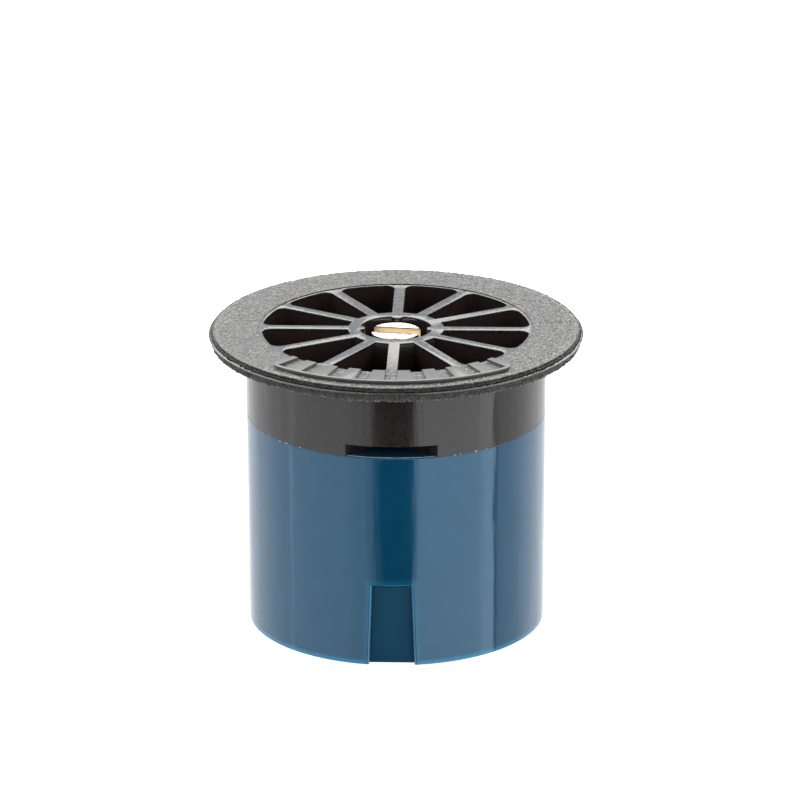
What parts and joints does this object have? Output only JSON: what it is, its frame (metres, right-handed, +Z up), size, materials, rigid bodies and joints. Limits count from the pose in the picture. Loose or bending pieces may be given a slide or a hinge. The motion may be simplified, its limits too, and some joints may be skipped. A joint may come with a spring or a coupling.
{
  "type": "pop up sprinkler spray nozzle",
  "caption": "Fixed quarter-arc spray nozzle for a pop-up sprinkler: female riser socket, spoked flanged cap with a spray window, and a central radius screw.",
  "frame": {"origin": "centre of the bottom rim, on the nozzle's axis", "axes": "+Z up along the nozzle's axis, spray window facing -Y, +X to the right when looking at the window"},
  "size_m": [0.0252, 0.0252, 0.0206],
  "materials": {
    "cap_black": "moulded, satin on the collar and spokes, leather grain on the flange",
    "body_blue": "moulded, smooth, slightly translucent at thin edges",
    "screw_steel": "turned stainless steel",
    "plug_white": "moulded natural acetal",
    "chip_grey": "moulded, fine satin"
  },
  "bodies": {
    "root": {"threaded_body": "body_blue", "deflector_cap": "cap_black", "jet_chip": "chip_grey"},
    "throttle": {"throttle_plug": "plug_white"},
    "screw": {"radius_screw": "screw_steel"}
  },
  "joints": [
    {"name": "screw_travel", "type": "slide", "parent": "root", "child": "throttle", "axis": [0, 0, 1], "range_m": [-0.00135, 0.00022]},
    {"name": "screw_turn", "type": "hinge", "parent": "throttle", "child": "screw", "pos_m": [0, 0, 0.02023], "axis": [0, 0, 1], "range_deg": [-1080, 180]}
  ],
  "couplings": [
    {"joint": "screw_turn", "follows": "screw_travel", "rad_per_m": 13963}
  ]
}
